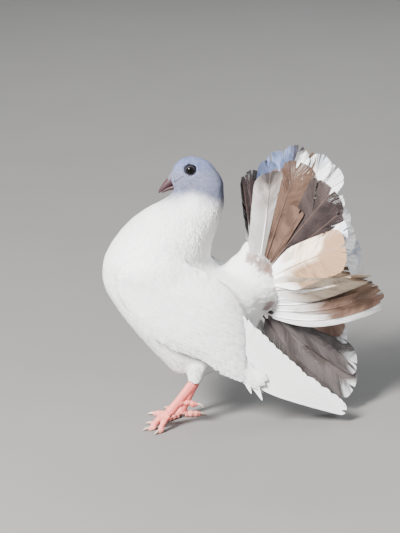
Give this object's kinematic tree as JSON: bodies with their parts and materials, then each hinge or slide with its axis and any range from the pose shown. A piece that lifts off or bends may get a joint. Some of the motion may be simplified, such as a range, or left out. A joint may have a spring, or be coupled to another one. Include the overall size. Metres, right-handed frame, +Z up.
{
  "type": "fantail pigeon",
  "caption": "Life-size fantail pigeon, walking with its head drawn back over a full crop, wings drooped and tail raised and fanned.",
  "frame": {"origin": "on the floor, under the middle of the bird's box", "axes": "+Z up; the bird faces -X, and its left side, the side the picture shows, is towards -Y"},
  "size_m": [0.2793, 0.1687, 0.2742],
  "materials": {
    "white_feather": "white feathers, matt",
    "tan_feather": "tan and brown tail feathers, matt",
    "eye": "dark, wet and shining",
    "bill": "dusky pink horn",
    "cere": "powdery, greyish pink",
    "leg_skin": "scaled, salmon red",
    "claw": "pale horn"
  },
  "bodies": {
    "root": {"head": "white_feather", "neck": "white_feather", "trunk": "white_feather", "tail_base": "white_feather", "eye_left": "eye", "cere_left": "cere", "eye_right": "eye", "cere_right": "cere", "bill_upper": "bill", "bill_lower": "bill", "wing_left": "white_feather", "secondaries_left": "white_feather", "primaries_left": "white_feather", "thigh_left": "white_feather", "wing_right": "white_feather", "secondaries_right": "white_feather", "primaries_right": "white_feather", "thigh_right": "white_feather", "tail_left_low": "tan_feather", "tail_left_mid": "white_feather", "tail_left_high": "tan_feather", "tail_top": "tan_feather", "tail_right_high": "white_feather", "tail_right_mid": "white_feather", "tail_right_low": "white_feather", "shank_left": "leg_skin", "toe_left_hind": "leg_skin", "claw_left_hind": "claw", "toe_left_inner": "leg_skin", "claw_left_inner": "claw", "toe_left_middle": "leg_skin", "claw_left_middle": "claw", "toe_left_outer": "leg_skin", "claw_left_outer": "claw", "shank_right": "leg_skin", "toe_right_hind": "leg_skin", "claw_right_hind": "claw", "toe_right_inner": "leg_skin", "claw_right_inner": "claw", "toe_right_middle": "leg_skin", "claw_right_middle": "claw", "toe_right_outer": "leg_skin", "claw_right_outer": "claw"}
  },
  "joints": []
}
